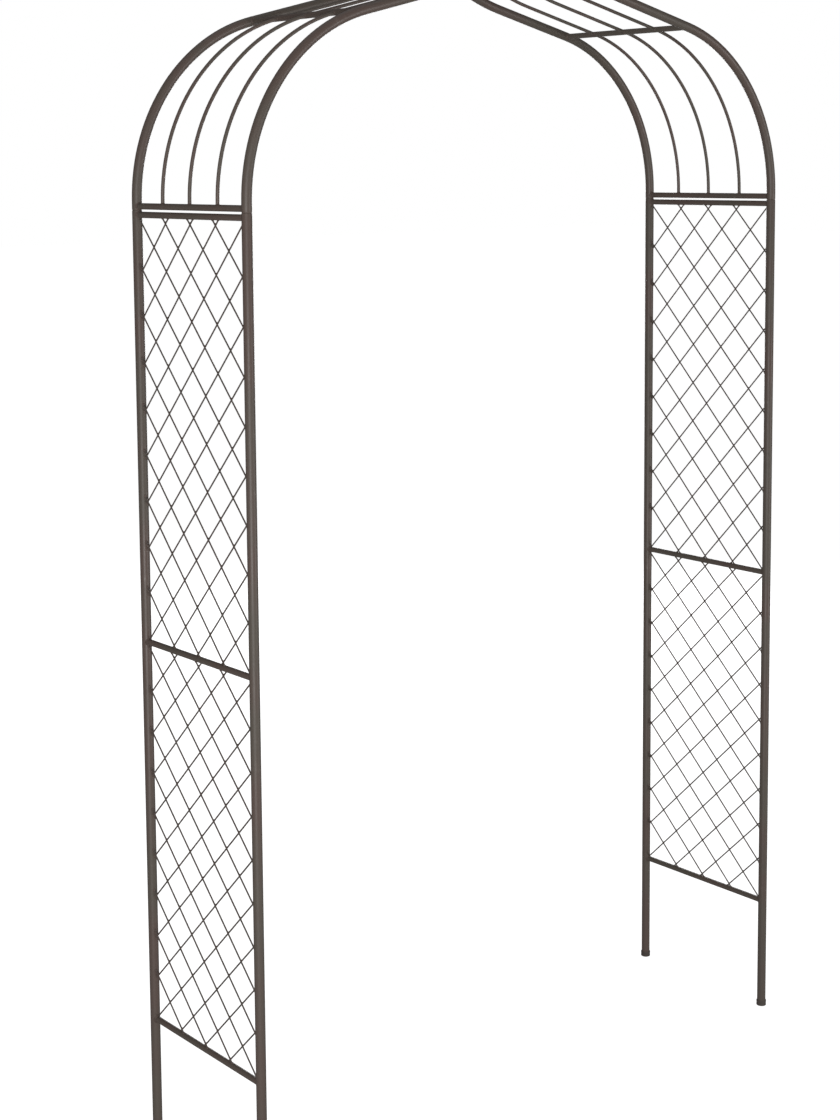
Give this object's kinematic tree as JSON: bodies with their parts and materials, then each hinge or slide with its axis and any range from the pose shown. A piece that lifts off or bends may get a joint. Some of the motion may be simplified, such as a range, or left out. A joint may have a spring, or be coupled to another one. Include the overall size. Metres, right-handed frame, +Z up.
{
  "type": "trellis arch",
  "caption": "Free-standing garden arch: two upright tube-and-wire trellis panels carrying an ogee top of bent tubes and rods, for climbing plants over a path.",
  "frame": {"origin": "on the ground, midway between the four feet", "axes": "+X across the walkway from the left panel to the right one, +Y from front to rear along the walkway, +Z up"},
  "size_m": [1.403, 0.39, 2.3998],
  "materials": {
    "coated_tube": "satin bronze-brown powder coat on steel tube",
    "coated_wire": "satin bronze-brown powder coat on steel wire",
    "fastener": "bronze-brown coated steel fastener",
    "foot_cap": "matt brown moulded cap"
  },
  "bodies": {
    "root": {"apex_bolts": "fastener", "apex_nuts": "fastener", "apex_washers": "fastener", "left_apex_bar": "coated_tube", "left_base_bar": "coated_tube", "left_bottom_bar": "coated_tube", "left_front_apex_plate": "coated_tube", "left_front_arch_tube": "coated_tube", "left_front_foot_cap": "foot_cap", "left_front_leg": "coated_tube", "left_lower_inner_wires": "coated_wire", "left_lower_outer_wires": "coated_wire", "left_lower_rod_1": "coated_tube", "left_lower_rod_2": "coated_tube", "left_lower_rod_3": "coated_tube", "left_middle_bar": "coated_tube", "left_rear_apex_plate": "coated_tube", "left_rear_arch_tube": "coated_tube", "left_rear_foot_cap": "foot_cap", "left_rear_leg": "coated_tube", "left_shoulder_bar": "coated_tube", "left_top_bar": "coated_tube", "left_upper_inner_wires": "coated_wire", "left_upper_outer_wires": "coated_wire", "left_upper_rod_1": "coated_tube", "left_upper_rod_2": "coated_tube", "left_upper_rod_3": "coated_tube", "right_apex_bar": "coated_tube", "right_base_bar": "coated_tube", "right_bottom_bar": "coated_tube", "right_front_apex_plate": "coated_tube", "right_front_arch_tube": "coated_tube", "right_front_foot_cap": "foot_cap", "right_front_leg": "coated_tube", "right_lower_inner_wires": "coated_wire", "right_lower_outer_wires": "coated_wire", "right_lower_rod_1": "coated_tube", "right_lower_rod_2": "coated_tube", "right_lower_rod_3": "coated_tube", "right_middle_bar": "coated_tube", "right_rear_apex_plate": "coated_tube", "right_rear_arch_tube": "coated_tube", "right_rear_foot_cap": "foot_cap", "right_rear_leg": "coated_tube", "right_shoulder_bar": "coated_tube", "right_top_bar": "coated_tube", "right_upper_inner_wires": "coated_wire", "right_upper_outer_wires": "coated_wire", "right_upper_rod_1": "coated_tube", "right_upper_rod_2": "coated_tube", "right_upper_rod_3": "coated_tube"}
  },
  "joints": []
}
